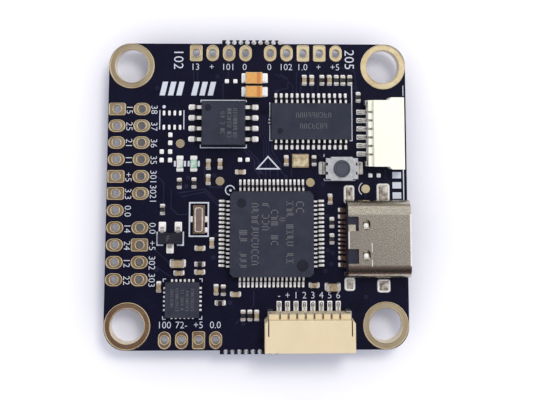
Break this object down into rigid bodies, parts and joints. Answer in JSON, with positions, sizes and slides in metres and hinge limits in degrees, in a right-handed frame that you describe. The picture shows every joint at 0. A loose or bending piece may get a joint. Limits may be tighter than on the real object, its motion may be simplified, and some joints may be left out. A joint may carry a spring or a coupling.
{
  "type": "flight controller board",
  "caption": "Square black flight controller board with corner mounting holes, a processor, a USB port, wire connectors, a boot button and rows of plated wire pads.",
  "frame": {"origin": "centre of the four mounting holes, on the underside of the board", "axes": "+X towards the side with the USB port, +Y forward, along the printed arrow, +Z out of the component side"},
  "size_m": [0.036, 0.0368, 0.0066],
  "materials": {
    "beige_plastic": "unpigmented heat-resistant nylon, aged beige",
    "black_plastic": "black moulded plastic",
    "board_laminate": "black solder mask over glass-fibre laminate, satin",
    "chip_resin": "moulded epoxy resin, fine matt",
    "cream_plastic": "unpigmented heat-resistant nylon, cream",
    "crystal_metal": "gold-plated lid, satin",
    "dark_glaze": "black glaze",
    "ferrite": "pressed iron powder, matt",
    "gold_plating": "thin gold plating over copper, slightly dulled",
    "grey_plastic": "dark grey moulded plastic, matt",
    "lamp_base": "white laminate",
    "lamp_lens": "clear resin over a small chip",
    "nickel_shell": "nickel-plated stainless steel",
    "orange_resin": "moulded orange epoxy resin",
    "pressed_steel": "pressed stainless steel",
    "tan_ceramic": "fired ceramic, satin",
    "tinned_lead": "tin plating with solder",
    "white_ceramic": "fired alumina, satin"
  },
  "bodies": {
    "board": {"bottom_wire_pads": "gold_plating", "button_base": "black_plastic", "button_cover": "pressed_steel", "button_dome": "pressed_steel", "button_terminals": "tinned_lead", "circuit_board": "board_laminate", "crystal_base": "white_ceramic", "crystal_lid": "crystal_metal", "esc_connector_anchors": "tinned_lead", "esc_connector_contacts": "tinned_lead", "esc_connector_housing": "beige_plastic", "left_inner_wire_pads": "gold_plating", "left_outer_wire_pads": "gold_plating", "logic_regulator_body": "chip_resin", "logic_regulator_leads": "tinned_lead", "medium_capacitor_bodies": "tan_ceramic", "medium_capacitor_terminals": "tinned_lead", "memory_chip_body": "chip_resin", "memory_chip_leads": "tinned_lead", "motion_sensor_body": "chip_resin", "motion_sensor_terminals": "tinned_lead", "mounting_hole_plating": "gold_plating", "overlay_chip_body": "chip_resin", "overlay_chip_leads": "tinned_lead", "power_capacitor_bodies": "tan_ceramic", "power_capacitor_terminals": "tinned_lead", "power_coil_core": "ferrite", "power_coil_terminals": "tinned_lead", "power_regulator_body": "chip_resin", "power_regulator_leads": "tinned_lead", "processor_body": "chip_resin", "processor_leads": "tinned_lead", "resistor_bodies": "white_ceramic", "resistor_coats": "dark_glaze", "resistor_terminals": "tinned_lead", "resonator_base": "tan_ceramic", "resonator_cover": "pressed_steel", "small_capacitor_bodies": "tan_ceramic", "small_capacitor_terminals": "tinned_lead", "status_lamp_bases": "lamp_base", "status_lamp_lenses": "lamp_lens", "status_lamp_terminals": "gold_plating", "tantalum_capacitor_bodies": "orange_resin", "tantalum_capacitor_terminals": "tinned_lead", "test_pads": "gold_plating", "top_wire_pads": "gold_plating", "transistor_body": "chip_resin", "transistor_leads": "tinned_lead", "usb_contact_holder": "black_plastic", "usb_contacts": "tinned_lead", "usb_shell": "nickel_shell", "video_connector_anchors": "tinned_lead", "video_connector_contacts": "tinned_lead", "video_connector_housing": "cream_plastic"},
    "plunger": {"button_plunger": "grey_plastic"}
  },
  "joints": [
    {"name": "button_press", "type": "slide", "parent": "board", "child": "plunger", "axis": [0, 0, -1], "range_m": [0, 0.00025], "stiffness_N_per_m": 0.5, "springref_m": -0.0005, "deforming": ["button_dome"]}
  ]
}
